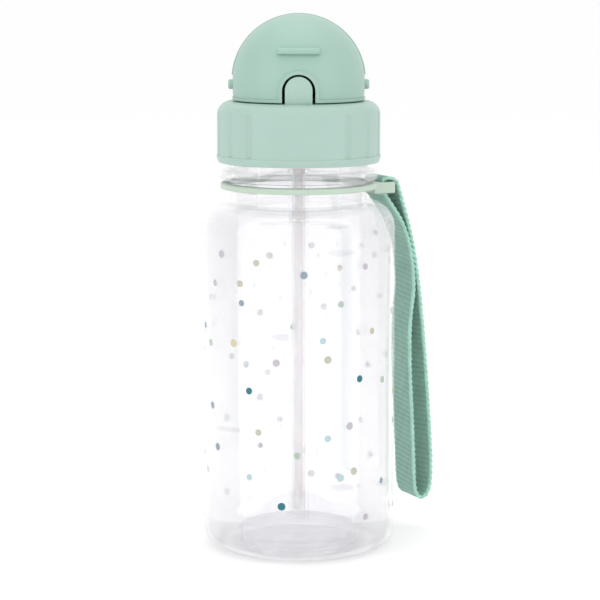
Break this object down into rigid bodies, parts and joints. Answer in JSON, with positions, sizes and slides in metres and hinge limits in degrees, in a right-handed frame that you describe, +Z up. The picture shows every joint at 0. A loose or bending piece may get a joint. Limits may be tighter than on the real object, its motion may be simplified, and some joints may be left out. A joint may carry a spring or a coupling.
{
  "type": "kids water bottle",
  "caption": "Clear drinking bottle for children with a screw lid, a flip-back dome cover over a folding straw spout, and a wrist strap on a swivel ring.",
  "frame": {"origin": "centre of the bottle's base, on the surface it stands on", "axes": "+Z up along the bottle, front (the cover's arch and thumb ledge) towards -Y, +X to the right; the strap tab points 26 degrees behind +X"},
  "size_m": [0.0882, 0.072, 0.1994],
  "materials": {
    "clear_body": "clear glossy copolyester with small printed dots",
    "mint_plastic": "satin moulded polypropylene",
    "dome_plastic": "satin moulded polypropylene, a shade deeper",
    "silicone": "translucent milky silicone",
    "straw_plastic": "translucent extruded polypropylene",
    "webbing": "woven polyester webbing with a zigzag edge"
  },
  "bodies": {
    "bottle": {"bottle_body": "clear_body"},
    "lid_seal": {"lid_gasket": "silicone"},
    "lid": {"screw_lid": "mint_plastic", "rear_housing": "dome_plastic", "hinge_pin_left": "mint_plastic", "hinge_pin_right": "mint_plastic", "mouthpiece_root": "silicone", "straw": "straw_plastic", "vent_valve": "silicone"},
    "cover": {"dome_cover": "dome_plastic"},
    "spout": {"mouthpiece_tip": "silicone"},
    "strap_ring": {"strap_ring": "mint_plastic"},
    "strap": {"wrist_strap": "webbing"}
  },
  "joints": [
    {"name": "lid_rise", "type": "slide", "parent": "bottle", "child": "lid_seal", "axis": [0, 0, 1], "range_m": [0, 0.00751]},
    {"name": "lid_turn", "type": "hinge", "parent": "lid_seal", "child": "lid", "pos_m": [0, 0, 0.15], "axis": [0, 0, 1], "range_deg": [0, 540]},
    {"name": "cover_flip", "type": "hinge", "parent": "lid", "child": "cover", "pos_m": [0, 0, 0.1734], "axis": [-1, 0, 0], "range_deg": [0, 92]},
    {"name": "spout_fold", "type": "hinge", "parent": "lid", "child": "spout", "pos_m": [0, 0.002, 0.1802], "axis": [-1, 0, 0], "range_deg": [0, 102.6]},
    {"name": "ring_swivel", "type": "hinge", "parent": "bottle", "child": "strap_ring", "pos_m": [0, 0, 0.136], "axis": [0, 0, 1], "continuous": true},
    {"name": "strap_swing", "type": "hinge", "parent": "strap_ring", "child": "strap", "pos_m": [0.03146, 0.01534, 0.1343], "axis": [0.4384, -0.8988, 0], "range_deg": [0, 110]}
  ],
  "couplings": [
    {"joint": "lid_rise", "follows": "lid_turn", "m_per_rad": 0.00079577},
    {"joint": "spout_fold", "follows": "cover_flip", "ratio": 1.1141}
  ]
}
